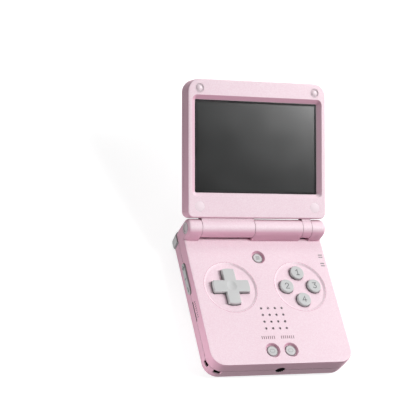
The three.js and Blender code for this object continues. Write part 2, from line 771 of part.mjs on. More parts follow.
function membraneSheet(left, right, front, back, domes) {
  const corner = membrane.margin / 2;
  const shape = roundedRectangle(left, right, front, back, corner);
  const sheet = slab(shape, board_top, board_top + membrane.thick);
  const raised = domes.map(([x, y]) => {
    const high = board_top + membrane.thick + membrane.dome_high;
    return post(x, y, board_top, high, membrane.dome_radius, membrane.dome_radius / 2, sides.screw);
  });
  return joined(sheet, ...raised);
}

function dpadMembrane() {
  const reach = cross_flange.radius;
  return membraneSheet(-well_x - reach, -well_x + reach, well_y - reach, well_y + reach, []);
}

function actionMembrane() {
  const reach = action.circle + action.radius;
  const domes = actionPlaces().map(([, x, y]) => [x, y]);
  return membraneSheet(well_x - reach, well_x + reach, well_y - reach, well_y + reach, domes);
}

function menuMembrane() {
  const reach = menu.rim;
  return membraneSheet(-reach, reach, menu_y - reach, menu_y + reach, [[0, menu_y]]);
}

function pairMembrane() {
  const reach = pair.rim;
  const domes = [[-pair.x, pair_y], [pair.x, pair_y]];
  return membraneSheet(-pair.x - reach, pair.x + reach, pair_y - reach, pair_y + reach, domes);
}

function lightPlate(grow) {
  const last = light_rows.length - 1;
  const high = face_inside - fit_gap;
  const half = light.length / 2 + grow;
  const front = light_rows[last] - light.width - grow;
  const back = light_rows[0] + light.width + grow;
  return box(light_x - half, light_x + half, front, back, high - light.plate_thick - grow, high + grow);
}

function lightPipe() {
  return joined(lightPlate(0), ...lightSlots(contact_gap));
}

// Small upright board with the two switches behind the shoulder caps of one side
function shoulderSwitches(side) {
  const { thick, low } = switch_board;
  const high = seam_z - switch_board.below_seam;
  const from = inner_cap.from - switch_board.overlap;
  const to = half_width - switch_board.side_room;
  const flange_front = rear_y - wall - side_draft.width - fit_gap - cap_flange.thick;
  const y = flange_front - switch_board.cap_room - tact.plunger_long - tact.thick - thick;
  const ends = side > 0 ? [from, to] : [-to, -from];
  const pieces = [box(ends[0], ends[1], y, y + thick, low, high)];
  for (const cap of [outer_cap, inner_cap]) {
    const outer_end = Math.min(cap.to, to);
    const x = side * (cap.from + outer_end) / 2;
    const z = (low + high) / 2;
    const back = y + thick + tact.thick;
    const half = tact.width / 2;
    const half_high = tact.height / 2;
    const { plunger } = tact;
    const tip = back + tact.plunger_long;
    pieces.push(box(x - half, x + half, y, back, z - half_high, z + half_high));
    pieces.push(box(x - plunger, x + plunger, y, tip, z - plunger, z + plunger));
  }
  return joined(...pieces);
}

function screwUp(x, y, seat, head, head_high, shank, length) {
  const low = seat - head_high;
  const top = upright(x, y, low, seat, head, sides.screw);
  const rod = upright(x, y, seat - head_high / 2, seat + length, shank, sides.screw);
  const half = screw_slot.width / 2;
  const deep = low + screw_slot.deep;
  const below = low - cut_margin;
  const slot = joined(block(x, y, head, half, below, deep), block(x, y, half, head, below, deep));
  const around = upright(x, y, below, low + cut_margin, head * screw_slot.reach_share, sides.screw);
  return joined(top, rod).subtract(slot.intersect(around));
}

// Controls
function dpad() {
  const top = base_height + cross.rise;
  const flange_high = pad_under - cross_flange.drop;
  const low = flange_high - cross_flange.thick;
  const shape = crossShape(cross.reach, cross.arm_half, cross.end_bulge);
  const body = easedTop(shape, low, top, cross.edge, cross.edge, edge_steps);
  const flange = upright(0, 0, low, flange_high, cross_flange.radius, sides.button);
  const ball = new THREE.SphereGeometry(dimple.ball_radius, sides.button, sides.small);
  ball.rotateX(Math.PI / 2);
  ball.translate(0, 0, top + dimple.ball_radius - dimple.depth);
  return joined(body, flange).subtract(solid(ball)).translate([-well_x, well_y, 0]);
}

function dpadPivot() {
  const high = pad_under - cross_flange.drop - cross_flange.thick - contact_gap * 2;
  return post(-well_x, well_y, high - pivot.thick, high, pivot.radius);
}

function roundCap(x, y, radius, top, under, flange_radius, flange_thick) {
  const edge = action.edge;
  const flange_high = under - slide_gap;
  const low = flange_high - flange_thick;
  const body = upright(x, y, low, top - edge, radius, sides.button);
  const crown = post(x, y, top - edge, top, radius, radius - edge, sides.button);
  const flange = upright(x, y, low, flange_high, flange_radius, sides.button);
  return joined(body, crown, flange);
}

function volumeRocker() {
  const out = -half_width - rocker.proud;
  const flange_out = -half_width + wall + rocker_flange.gap;
  const flange_in = flange_out + rocker_flange.thick;
  const bar = sideBar(rocker_y, rocker_z, rocker.length, rocker.height, out, flange_in);
  const { length, height } = rocker_flange;
  const flange = sideBar(rocker_y, rocker_z, length, height, flange_out, flange_in);
  const half = height / 2;
  const nub_out = flange_out - rocker_flange.nub;
  const front = rocker_y - rocker_flange.nub_half;
  const back = rocker_y + rocker_flange.nub_half;
  const nub = box(nub_out, flange_in, front, back, rocker_z - half, rocker_z + half);
  return joined(bar, flange, nub);
}

function sideButton(style) {
  const flange_out = half_width - wall - fit_gap;
  const flange_in = flange_out - side_flange.thick;
  const grow = 2 * side_flange.margin;
  const { y, length, height, proud } = style;
  const cap = sideBar(y, side_button_z, length, height, flange_in, half_width + proud);
  const flange = sideBar(y, side_button_z, length + grow, height + grow, flange_in, flange_out);
  return joined(cap, flange);
}

// Hinge hardware
function hingeBush() {
  const from = -half_width + bush.inset;
  const to = knuckle_edges.ear_left + bush.past_ear;
  const tube = barrel(from, to, axis_y, axis_z, bush.outer, sides.small);
  return tube.subtract(barrel(from - cut_margin, to + cut_margin, axis_y, axis_z, bush.inner, sides.small));
}

function hingeCapDisc() {
  const { radius, inset, thick, dish, dish_radius } = cap_disc;
  const from = -half_width + inset;
  const disc = barrel(from, from + thick, axis_y, axis_z, radius, sides.small);
  return disc.subtract(barrel(from - cut_margin, from + dish, axis_y, axis_z, dish_radius, sides.small));
}

function hingeCartridge() {
  const { radius, inset, length, pin, pin_long } = cartridge;
  const groove = cartridge_groove;
  const to = half_width - inset;
  const from = to - length;
  const collar = from + groove.from_end;
  const body = barrel(from, to, axis_y, axis_z, radius, sides.small);
  const waist = barrel(collar, collar + groove.width, axis_y, axis_z, radius + cut_margin, sides.small);
  const core_end = collar + groove.width + cut_margin;
  const core = barrel(collar - cut_margin, core_end, axis_y, axis_z, radius - groove.deep, sides.small);
  const nose = barrel(from - pin_long, from + cut_margin, axis_y, axis_z, pin, sides.small);
  return joined(body.subtract(waist.subtract(core)), nose);
}

// Lid, in its own flat frame
function lidOutline(inset) {
  const near_radius = Math.max(lid_hinge_corner - inset, least_corner);
  const far_radius = lid_free_corner - inset;
  const side = half_width - inset;
  return roundedRectangle(-side, side, lid_start + inset, lid_end - inset, near_radius, far_radius);
}

function screenShape(grow) {
  const side = screen_half_x + grow;
  const end = screen_half_y + grow;
  return roundedRectangle(-side, side, screen_y - end, screen_y + end, screen.corner + Math.max(grow, 0));
}

const glass_high = lid_inner_z - screen.recess;
const glass_low = glass_high - glass.thick;
const ledge_high = glass_low - fit_gap;
const ledge_low = ledge_high - glass.ledge_thick;

// The sloping frame around the glass, wide at the lid's face
function screenFunnel() {
  const steps = screen.slope / screen.recess;
  const above = lid_inner_z + cut_margin;
  const width = screen.slope + steps * cut_margin;
  const height = screen.recess + cut_margin;
  const big = screenShape(width);
  return easedBottom(big, glass_high, above, width - slide_gap - contact_gap, height, 1);
}

function lidPlaces() {
  const places = [];
  const side = half_width - bumper_place.inset;
  const near = lid_start + bumper_place.from_start;
  const far = lid_end - bumper_place.from_end;
  for (const x of [-side, side]) {
    for (const y of [near, far]) places.push([x, y]);
  }
  return places;
}

function lidKnuckle(left, right) {
  const turning = barrel(left, right, 0, 0, barrel_radius);
  const arm = box(left, right, 0, neck.reach, neck.low, neck.high);
  return joined(turning, arm);
}

function lidFrontShell() {
  const edge = lid_edge_radius;
  const outer = easedTop(lidOutline(0), lid_seam_z, lid_inner_z, edge, edge, edge_steps);
  const room = slab(lidOutline(lid_wall), lid_seam_z - cut_margin, lid_inner_z - lid_face_wall);
  const frame = slab(screenShape(slide_gap + glass.frame_wall), ledge_low, lid_inner_z);
  const posts = lidPlaces().map(([x, y]) => post(x, y, lid_seam_z, lid_inner_z, lid_post.outer));
  const cavity = room.subtract(joined(frame, ...posts));
  let shell = outer.subtract(cavity).subtract(screenFunnel());
  shell = shell.subtract(slab(screenShape(slide_gap), ledge_high, lid_inner_z));
  shell = shell.subtract(slab(screenShape(-glass.ledge), ledge_low - cut_margin, lid_inner_z));
  for (const [x, y] of lidPlaces()) {
    shell = shell.subtract(post(x, y, lid_screw.seat, lid_inner_z + cut_margin, bumper.recess));
    const hole = lid_post.bore + contact_gap;
    shell = shell.subtract(upright(x, y, lid_seam_z - cut_margin, lid_inner_z, hole, sides.screw));
  }
  const edges = knuckle_edges;
  const left_knuckle = lidKnuckle(edges.ear_left + joint_split, edges.middle_left - joint_split);
  const right_knuckle = lidKnuckle(edges.middle_right + joint_split, edges.ear_right - joint_split);
  const bore_from = edges.ear_left - cut_margin;
  const bore_to = edges.ear_right + cut_margin;
  const hole = barrel(bore_from, bore_to, 0, 0, bore.radius, sides.small);
  const half = ribbon.slot / 2;
  const [from, to] = ribbonSpan();
  const passage = box(from - half, to + half, 0, lid_start + lid_wall + cut_margin, -half, half);
  return joined(shell, left_knuckle, right_knuckle).subtract(hole).subtract(passage);
}

function lidBackShell() {
  const high = lid_seam_z - seam_gap;
  const outer = easedBottom(lidOutline(0), lid_back_z, high, lid_back_edge, lid_back_edge, edge_steps + 1);
  const inside_z = lid_back_z + lid_face_wall;
  const room = easedBottom(lidOutline(lid_wall), inside_z, high + cut_margin, lid_wall, lid_wall, 1);
  const bosses = lidPlaces().map(([x, y]) => {
    const boss_post = post(x, y, inside_z - contact_gap, high, lid_post.boss);
    const hole_low = inside_z + contact_gap;
    return boss_post.subtract(upright(x, y, hole_low, high + cut_margin, lid_post.bore, sides.screw));
  });
  const recess = slab(badgeShape(fit_gap / 2), lid_back_z - cut_margin, lid_back_z + badge.sink);
  return joined(outer.subtract(room), ...bosses).subtract(recess);
}

function badgeShape(grow) {
  const side = badge.half_x + grow;
  const end = badge.half_y + grow;
  return roundedRectangle(-side, side, badge_y - end, badge_y + end, end - badge_thick.end_flat);
}

function badgeRim() {
  const low = lid_back_z;
  const high = lid_back_z + badge_thick.rim;
  const hole = slab(badgeShape(-badge.rim), low - cut_margin, high + cut_margin);
  return slab(badgeShape(0), low, high).subtract(hole);
}

function badgePlate() {
  const high = lid_back_z + badge_thick.rim;
  return slab(badgeShape(-badge.rim - contact_gap), high - badge_thick.plate, high);
}

function screenWindow() {
  return slab(screenShape(0), glass_low, glass_high);
}

function displayPanel() {
  const high = ledge_low - fit_gap;
  return slab(screenShape(panel.margin), high - panel.thick, high);
}

function rubberBumper(x, y) {
  const proud = y > screen_y ? bumper.proud : 0;
  const high = lid_inner_z + proud;
  const low = lid_inner_z - bumper.thick;
  const { radius, soft_edge } = bumper;
  const shoulder = high - soft_edge / 2;
  const body = upright(x, y, low, shoulder, radius, sides.small);
  const crown = post(x, y, shoulder, high, radius, radius - soft_edge, sides.small);
  return joined(body, crown);
}

function lidScrew(x, y) {
  const seat = lid_screw.seat + fit_gap;
  const { head, head_high, shank, length } = lid_screw;
  return screwUp(x, -y, -seat, head, head_high, shank, length).rotate([180, 0, 0]);
}

// Flat ribbon from the panel down into the left knuckle, where it is coiled
function ribbonSpan() {
  return [knuckle_edges.ear_left + ribbon.from_ear, knuckle_edges.middle_left - ribbon.from_middle];
}

function displayRibbon() {
  const half = ribbon.thick / 2;
  const [from, to] = ribbonSpan();
  const strip = box(from, to, ribbon.coil - half, ribbon.end, -half, half);
  const outer = barrel(from, to, 0, 0, ribbon.coil + half, sides.small);
  const inner = barrel(from - cut_margin, to + cut_margin, 0, 0, ribbon.coil - half, sides.small);
  const split = box(from - cut_margin, to + cut_margin, 0, ribbon.coil * 2, half, ribbon.coil);
  return joined(strip, outer.subtract(inner).subtract(split));
}

// Assembly
const base = new THREE.Group();
const place = (name, piece, material) => base.add(meshOf(name, piece, material));

place('base_upper_shell', baseUpperShell(), pink);
place('base_lower_shell', baseLowerShell(), pink);
place('main_board', mainBoard(), board_green);
place('battery', batteryPack(), battery_foil);
place('speaker', speakerUnit(), black_plastic);
place('audio_jack', audioJack(), black_plastic);
place('usb_socket', rearSocket(usb), steel);
place('video_socket', rearSocket(hdmi), steel);
place('left_card_slot', cardSlot(-1, card_left_y), steel);
place('right_card_slot', cardSlot(1, card_right_y), steel);
place('left_shoulder_switches', shoulderSwitches(-1), board_green);
place('right_shoulder_switches', shoulderSwitches(1), board_green);
place('dpad_membrane', dpadMembrane(), carbon_rubber);
place('action_membrane', actionMembrane(), carbon_rubber);
place('menu_membrane', menuMembrane(), carbon_rubber);
place('select_start_membrane', pairMembrane(), carbon_rubber);
place('indicator_light_pipe', lightPipe(), clear_grey);
place('hinge_bush', hingeBush(), steel);
place('hinge_cap', hingeCapDisc(), grey);
place('hinge_cartridge', hingeCartridge(), steel);
casePlaces().forEach(([x, y], index) => {
  const { head, head_high, shank, length } = screw_body;
  const seat = case_screw_seat - contact_gap;
  place(`case_screw_${index + 1}`, screwUp(x, y, seat, head, head_high, shank, length), steel);
});

// Controls that move
place('dpad', dpad(), grey);
place('dpad_pivot', dpadPivot(), grey);
for (const [name, x, y] of actionPlaces()) {
  const top = base_height + action.rise;
  const { radius, flange_radius, flange_thick } = action;
  place(name, roundCap(x, y, radius, top, pad_under, flange_radius, flange_thick), grey);
}
for (const [name, style, x, y] of smallPlaces()) {
  const top = base_height - style.sink;
  const flange = style.cap + small_flange.extra;
  place(name, roundCap(x, y, style.cap, top, small_pad_under, flange, small_flange.thick), grey);
}
place('left_outer_shoulder_button', shoulderCap(outer_cap, -1), grey);
place('left_inner_shoulder_button', shoulderCap(inner_cap, -1), grey);
place('right_outer_shoulder_button', shoulderCap(outer_cap, 1), grey);
place('right_inner_shoulder_button', shoulderCap(inner_cap, 1), grey);
place('volume_rocker', volumeRocker(), grey);
place('power_button', sideButton(power), grey);
place('reset_button', sideButton(reset), grey);

// Lid, turned open about the hinge axis
const lid = new THREE.Group();
lid.position.set(0, axis_y, axis_z);
lid.rotation.x = Math.PI - THREE.MathUtils.degToRad(open_angle);
const fix = (name, piece, material) => lid.add(meshOf(name, piece, material));

fix('lid_front_shell', lidFrontShell(), pink);
fix('lid_back_shell', lidBackShell(), pink);
fix('screen_window', screenWindow(), dark_glass);
fix('display_panel', displayPanel(), panel_black);
fix('display_ribbon', displayRibbon(), flex_orange);
fix('badge_rim', badgeRim(), silver);
fix('badge_plate', badgePlate(), badge_grey);
lidPlaces().forEach(([x, y], index) => {
  fix(`lid_bumper_${index + 1}`, rubberBumper(x, y), pale_rubber);
  fix(`lid_screw_${index + 1}`, lidScrew(x, y), steel);
});

const console_group = new THREE.Group();
console_group.add(base, lid);
export default console_group;
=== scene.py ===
"""Looks of the clamshell handheld game console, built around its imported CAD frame."""
import json
import math

import bmesh
import bpy
from mathutils import Matrix, Vector

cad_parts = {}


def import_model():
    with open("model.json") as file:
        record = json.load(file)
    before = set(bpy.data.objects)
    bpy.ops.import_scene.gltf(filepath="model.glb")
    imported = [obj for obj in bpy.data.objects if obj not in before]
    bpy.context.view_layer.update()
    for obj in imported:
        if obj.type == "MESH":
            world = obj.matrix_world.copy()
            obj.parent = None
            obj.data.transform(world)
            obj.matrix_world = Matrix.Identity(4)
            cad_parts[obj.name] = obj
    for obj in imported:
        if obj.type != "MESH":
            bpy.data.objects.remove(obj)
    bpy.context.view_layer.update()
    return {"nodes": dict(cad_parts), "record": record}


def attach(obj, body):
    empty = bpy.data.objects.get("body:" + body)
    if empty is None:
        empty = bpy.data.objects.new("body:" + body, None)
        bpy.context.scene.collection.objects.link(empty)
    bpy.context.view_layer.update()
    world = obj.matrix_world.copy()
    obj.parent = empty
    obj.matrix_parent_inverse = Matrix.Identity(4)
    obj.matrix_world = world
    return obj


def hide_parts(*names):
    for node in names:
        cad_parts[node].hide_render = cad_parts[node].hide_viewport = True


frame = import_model()

MM = 0.001
scene = bpy.context.scene
collection = scene.collection

# Camera, solved from the photograph
CAMERA_PLACE = (-0.37280, -0.37167, 0.68146)
CAMERA_RIGHT = (0.91440, -0.20736, 0.34766)
CAMERA_DOWN = (0.01198, -0.84460, -0.53526)
CAMERA_FORWARD = (0.40463, 0.49361, -0.76983)
LENS = 133.27
SENSOR = 36.0
CLIP_NEAR, CLIP_FAR = 0.05, 20

# The lid's own frame: distance from the hinge along the lid, and height over the inner face
HINGE_Y, HINGE_Z = 38.5, 21.15
LID_TILT = math.radians(30.7)
LID_UP = Vector((0, math.cos(LID_TILT), math.sin(LID_TILT)))
LID_OUT = Vector((0, -math.sin(LID_TILT), math.cos(LID_TILT)))
LID_FACE, GLASS_FACE = 4.4, 2.4
X, Y, Z = Vector((1, 0, 0)), Vector((0, 1, 0)), Vector((0, 0, 1))


def lid_point(x, along, height):
    """A point of the lid in row millimetres."""
    return Vector((x, HINGE_Y, HINGE_Z)) + LID_UP * along + LID_OUT * height


# Finishes
EDGE_SAMPLES, CREVICE_SAMPLES = 4, 6
EDGE_TURNED, EDGE_STRAIGHT = 0.86, 0.995
NOISE_LOW, NOISE_HIGH = 0.3, 0.7
RANGE_SOCKETS = ("From Min", "From Max", "To Min", "To Max")
WHITE, BLACK = (1, 1, 1), (0, 0, 0)


class Nodes:
    """A small builder for one material's node tree."""

    def __init__(self, name):
        self.material = bpy.data.materials.new(name)
        self.material.use_nodes = True
        self.tree = self.material.node_tree
        self.shader = self.tree.nodes["Principled BSDF"]
        self.coords = self.add("ShaderNodeTexCoord")

    def add(self, kind, **values):
        node = self.tree.nodes.new(kind)
        for key, value in values.items():
            setattr(node, key, value)
        return node

    def link(self, source, target):
        self.tree.links.new(source, target)

    def noise(self, scale, detail=2.0):
        """Soft noise fixed to the object, about 0 to 1."""
        node = self.add("ShaderNodeTexNoise")
        node.inputs["Scale"].default_value = scale
        node.inputs["Detail"].default_value = detail
        self.link(self.coords.outputs["Object"], node.inputs["Vector"])
        return node.outputs["Fac"]

    def cells(self, scale):
        """Three random numbers for each small cell, as the channels of a colour."""
        node = self.add("ShaderNodeTexVoronoi", feature="F1")
        node.inputs["Scale"].default_value = scale
        self.link(self.coords.outputs["Object"], node.inputs["Vector"])
        split = self.add("ShaderNodeSeparateColor")
        self.link(node.outputs["Color"], split.inputs["Color"])
        return split.outputs

    def spread(self, value, low, high, to_low, to_high):
        """A value stretched from one range onto another, held at its ends."""
        node = self.add("ShaderNodeMapRange")
        for name, number in zip(RANGE_SOCKETS, (low, high, to_low, to_high)):
            node.inputs[name].default_value = number
        self.link(value, node.inputs["Value"])
        return node.outputs["Result"]

    def ramp(self, value, *stops):
        """A colour band, each stop a place and a linear colour."""
        node = self.add("ShaderNodeValToRGB")
        band = node.color_ramp
        while len(band.elements) < len(stops):
            band.elements.new(0.5)
        for element, (place, colour) in zip(band.elements, stops):
            element.position = place
            element.color = (*colour, 1.0)
        self.link(value, node.inputs["Fac"])
        return node.outputs["Color"]

    def blend(self, share, first, second, kind="MIX"):
        """Two colours mixed by a share; each of the three is a socket or plain numbers."""
        node = self.add("ShaderNodeMix", data_type="RGBA", blend_type=kind)
        factor, a, b = node.inputs[0], node.inputs[6], node.inputs[7]
        for socket, value in ((factor, share), (a, first), (b, second)):
            if isinstance(value, bpy.types.NodeSocket):
                self.link(value, socket)
            elif socket == factor:
                socket.default_value = value
            else:
                socket.default_value = (*value, 1.0)
        return node.outputs[2]

    def soft_edge(self, radius):
        """The surface's direction with its edges rounded by a small radius."""
        node = self.add("ShaderNodeBevel", samples=EDGE_SAMPLES)
        node.inputs["Radius"].default_value = radius * MM
        return node.outputs["Normal"]

    def edge_mask(self, rounded):
        """1 on edges, 0 on flat ground, from the rounded direction."""
        plain = self.add("ShaderNodeNewGeometry")
        dot = self.add("ShaderNodeVectorMath", operation="DOT_PRODUCT")
        self.link(rounded, dot.inputs[0])
        self.link(plain.outputs["Normal"], dot.inputs[1])
        return self.spread(dot.outputs["Value"], EDGE_TURNED, EDGE_STRAIGHT, 1, 0)

    def crevice(self, reach):
        """0 in tight places, 1 in the open."""
        node = self.add("ShaderNodeAmbientOcclusion", samples=CREVICE_SAMPLES)
        node.inputs["Distance"].default_value = reach * MM
        return node.outputs["AO"]

    def facing_up(self, low, high):
        """1 where a wall faces along the console's thickness, 0 on its side walls."""
        split = self.add("ShaderNodeSeparateXYZ")
        self.link(self.coords.outputs["Normal"], split.inputs[0])
        size = self.add("ShaderNodeMath", operation="ABSOLUTE")
        self.link(split.outputs["Z"], size.inputs[0])
        return self.spread(size.outputs[0], low, high, 0, 1)

    def bump(self, value, strength, distance, normal=None):
        """Fine relief from a value, over the rounded direction where one is given."""
        node = self.add("ShaderNodeBump")
        node.inputs["Strength"].default_value = strength
        node.inputs["Distance"].default_value = distance * MM
        self.link(value, node.inputs["Height"])
        if normal:
            self.link(normal, node.inputs["Normal"])
        self.link(node.outputs["Normal"], self.shader.inputs["Normal"])

    def set(self, **values):
        """Plain values of the shader's own sockets, with _ for a space."""
        for name, value in values.items():
            self.shader.inputs[name.replace("_", " ")].default_value = value


def srgb(code):
    """A hex colour as linear numbers."""
    parts = [int(code[i:i + 2], 16) / 255 for i in (0, 2, 4)]
    return tuple(p / 12.92 if p <= 0.04045 else ((p + 0.055) / 1.055) ** 2.4 for p in parts)


def between(a, b, share):
    """Two plain colours mixed."""
    return tuple(x + (y - x) * share for x, y in zip(a, b))


# Moulded plastic: scales of its noise, height of its grain in millimetres, limits of a crevice,
# and how far the painted highlight on edges goes to white and the painted shade in crevices to
# black
DRIFT_SCALE, GLOSS_SCALE, GLOSS_SPREAD, RELIEF = 38, 210, 0.1, 0.04
TIGHT, OPEN = 0.25, 0.95
EDGE_HIGHLIGHT_PALE, CREVICE_SHADE_DARK = 0.6, 0.85


def moulded(
    name, code, rough, grain=0.12, grain_scale=5200, tone=0.05, metallic=0.0, edge=0.15, edge_highlight=0.25,
    crevice_shade=0.55, reach=1.2,
):
    """Moulded plastic: fine grain, slow tone drift, uneven gloss, a painted highlight on edges,
    painted shade in crevices.
    """
    n = Nodes(name)
    base = srgb(code)
    rounded = n.soft_edge(edge)
    darker, paler = between(base, BLACK, tone), between(base, WHITE, tone)
    drift = n.ramp(n.noise(DRIFT_SCALE, 3), (NOISE_LOW, darker), (NOISE_HIGH, paler))
    # Painted highlight: edges go paler towards white
    highlit_edges = n.spread(n.edge_mask(rounded), 0, 1, 0, edge_highlight)
    edge_lit = n.blend(highlit_edges, drift, between(base, WHITE, EDGE_HIGHLIGHT_PALE))
    # Painted shade: tight places go darker towards black
    shade = n.spread(n.crevice(reach), TIGHT, OPEN, crevice_shade, 0)
    colour = n.blend(shade, edge_lit, between(base, BLACK, CREVICE_SHADE_DARK))
    n.link(colour, n.shader.inputs["Base Color"])
    smooth, dull = rough * (1 - GLOSS_SPREAD), rough * (1 + GLOSS_SPREAD)
    gloss = n.spread(n.noise(GLOSS_SCALE, 4), NOISE_LOW, NOISE_HIGH, smooth, dull)
    n.link(gloss, n.shader.inputs["Roughness"])
    n.set(Metallic=metallic, Specular_IOR_Level=0.5)
    n.bump(n.noise(grain_scale, 2), grain, RELIEF, rounded)
    return n.material


# Pearl paint: its flakes, clouds, painted shade in crevices and painted highlight on edges, the
# range of facings over which the painted shade of the walls' deeper pink gives way to the face's,
# its gloss, and its fine ripple
FLAKE_SCALE, FLAKE_DARK, FLAKE_MIDDLE, FLAKE_PALE = 2600, 0.06, 0.55, 0.16
CLOUD_SCALE, CLOUD_DEPTH = 26, 0.06
PAINT_EDGE, PAINT_REACH = 0.22, 1.5
WALL_FACING, FACE_FACING = 0.5, 0.84
PAINT_TIGHT, PAINT_OPEN, PAINT_CREVICE_SHADE, PAINT_EDGE_HIGHLIGHT = 0.15, 0.85, 0.9, 0.5
PAINT_SMOOTH, PAINT_DULL = 0.44, 0.56
PEEL_SCALE, PEEL_DEPTH = 1900, 0.08


def pearl(name, code, wall, crevice_shade):
    """Pearl paint: a glitter of flakes under a satin coat, with painted shade as deeper pink on
    side walls and in crevices, and a painted highlight on edges.
    """
    n = Nodes(name)
    base, side, dark = srgb(code), srgb(wall), srgb(crevice_shade)
    rounded = n.soft_edge(PAINT_EDGE)
    flakes = n.cells(FLAKE_SCALE)
    dim, bright = between(base, dark, FLAKE_DARK), between(base, WHITE, FLAKE_PALE)
    glitter = n.ramp(flakes["Red"], (0.0, dim), (FLAKE_MIDDLE, base), (1.0, bright))
    clouds = n.noise(CLOUD_SCALE, 3)
    cloudy = n.ramp(clouds, (NOISE_LOW, between(WHITE, side, CLOUD_DEPTH)), (NOISE_HIGH, WHITE))
    paint = n.blend(1.0, glitter, cloudy, "MULTIPLY")
    # Painted shade: side walls take the deeper wall pink, faces the paler paint
    walls_shaded = n.blend(n.facing_up(WALL_FACING, FACE_FACING), side, paint)
    # Painted shade: tight places deepen towards the dark pink
    tight = n.spread(n.crevice(PAINT_REACH), PAINT_TIGHT, PAINT_OPEN, PAINT_CREVICE_SHADE, 0)
    shaded = n.blend(tight, walls_shaded, dark)
    # Painted highlight: edges go paler towards white
    highlit_edges = n.spread(n.edge_mask(rounded), 0, 1, 0, PAINT_EDGE_HIGHLIGHT)
    edge_lit = n.blend(highlit_edges, shaded, between(base, WHITE, EDGE_HIGHLIGHT_PALE))
    n.link(edge_lit, n.shader.inputs["Base Color"])
    gloss = n.spread(flakes["Green"], 0, 1, PAINT_SMOOTH, PAINT_DULL)
    n.link(gloss, n.shader.inputs["Roughness"])
    n.set(Metallic=0.0, Specular_IOR_Level=0.3)
    n.set(Coat_Weight=0.2, Coat_Roughness=0.34, Coat_IOR=1.6)
    n.bump(n.noise(PEEL_SCALE, 3), PEEL_DEPTH, RELIEF, rounded)
    return n.material


# Window: a drift in tone, smears in its gloss, and a faint wave
HAZE_SCALE, HAZE_PALE = 14, 0.008
SMEAR_SCALE, GLASS_SMOOTH, GLASS_DULL = 60, 0.17, 0.2
WAVE_SCALE, WAVE_STRENGTH, WAVE_HEIGHT = 90, 0.02, 0.02


def window_glass(name, code):
    """Dark polished window over a panel that is off, with a faint drift in tone and gloss."""
    n = Nodes(name)
    base = srgb(code)
    hazy = between(base, WHITE, HAZE_PALE)
    colour = n.ramp(n.noise(HAZE_SCALE, 2), (NOISE_LOW, base), (NOISE_HIGH, hazy))
    n.link(colour, n.shader.inputs["Base Color"])
    smears = n.noise(SMEAR_SCALE, 3)
    gloss = n.spread(smears, NOISE_LOW, NOISE_HIGH, GLASS_SMOOTH, GLASS_DULL)
    n.link(gloss, n.shader.inputs["Roughness"])
    n.set(Specular_IOR_Level=0.5)
    n.bump(n.noise(WAVE_SCALE, 2), WAVE_STRENGTH, WAVE_HEIGHT)
    return n.material


MATERIALS = {
    "pearl_pink": pearl("pearl_pink", "f4dbe5", "dfabc0", "a34f71"),
    "grey_keys": moulded("grey_keys", "cdcece", 0.46, edge_highlight=0.45, crevice_shade=0.62, reach=1.8),
    "pale_rubber": moulded("pale_rubber", "ecd9e1", 0.6, grain=0.2, crevice_shade=0.35),
    "black_plastic": moulded("black_plastic", "1c1c1e", 0.5),
    "board_green": moulded("board_green", "1f5b3c", 0.55),
    "carbon_rubber": moulded("carbon_rubber", "6d7072", 0.75),
    "flex": moulded("flex", "b5702c", 0.4),
    "light_pipe": moulded("light_pipe", "a9a4a6", 0.3),
    "battery_foil": moulded("battery_foil", "8f959a", 0.35, metallic=0.8),
    "steel": moulded("steel", "9a9da0", 0.3, metallic=1.0),
    "silver": moulded("silver", "d4d6d8", 0.18, metallic=1.0),
    "badge_plate": moulded("badge_plate", "3c413f", 0.32),
    "panel": moulded("panel", "101112", 0.4),
    "screen_window": window_glass("screen_window", "242525"),
}
PRINT = moulded("grey_print", "6c6e70", 0.55, tone=0.08, edge_highlight=0)
DARK_PRINT = moulded("dark_print", "3f4243", 0.5, tone=0.08, edge_highlight=0)
FAINT_PRINT = moulded("faint_print", "a3a5a6", 0.55, tone=0.08, edge_highlight=0)
PINK_PRINT = moulded("pink_print", "8b6b76", 0.6, tone=0.1, edge_highlight=0)
# Near-black: painted shade in slots, holes and mouths, and the printed border of the window
SHADE_AND_PRINT_BLACK = moulded("shade_and_print_black", "0e0b0c", 0.8, tone=0.02, edge_highlight=0)
# Painted shade: the near-black lining of the strap channel
STRAP_SHADE_LINER = moulded("strap_shade_liner", "140a0e", 0.75, tone=0.05, edge_highlight=0)
CAP_FINISH = moulded("cap_finish", "cfc3c8", 0.42, tone=0.04)
ROCKER_FINISH = moulded("rocker_finish", "b6bab9", 0.5, crevice_shade=0.4)
BUMPER_FINISH = moulded("bumper_finish", "f1dfe6", 0.36, grain=0.08, tone=0.03, crevice_shade=0.3, reach=0.7)
# Painted shade: the pink line in the crease round each well
SHADE_LINE_FINISH = moulded(
    "painted_shade_line", "d888aa", 0.5, grain=0.08, tone=0.04, edge=0.04, edge_highlight=0, crevice_shade=0,
)
# Painted highlight: the pale line on the slope of each well
HIGHLIGHT_FINISH = moulded(
    "painted_highlight", "fdf3f7", 0.4, grain=0.08, tone=0.02, edge=0.04, edge_highlight=0, crevice_shade=0,
)
FLUSH_FINISH = moulded(
    "flush_finish", "f5e1e9", 0.42, grain=0.08, tone=0.03, edge_highlight=0.1, crevice_shade=0.15, reach=0.5,
)


# Pieces
SLOT_OF = {part["node"]: part["material_slot"] for part in frame["record"]["subparts"]}
BODIES = frame["record"]["behaviour"]["bodies"]
BODY_OF = {node: body for body, nodes in BODIES.items() for node in nodes}
WELD = 0.002 * MM
FACE_Z = 16.4

# Folds in degrees: sharp when over one of the first three (for most pieces, turned pieces and the
# rims of the wells), dissolved when under the last
SHARP_ANGLE, TURNED_ANGLE, RIM_ANGLE, FLAT_ANGLE = 28, 35, 18, 0.4
WELL_X, WELL_Y, WELL_LOW, WELL_REACH = 21.25, 3.75, 15.0, 16.5


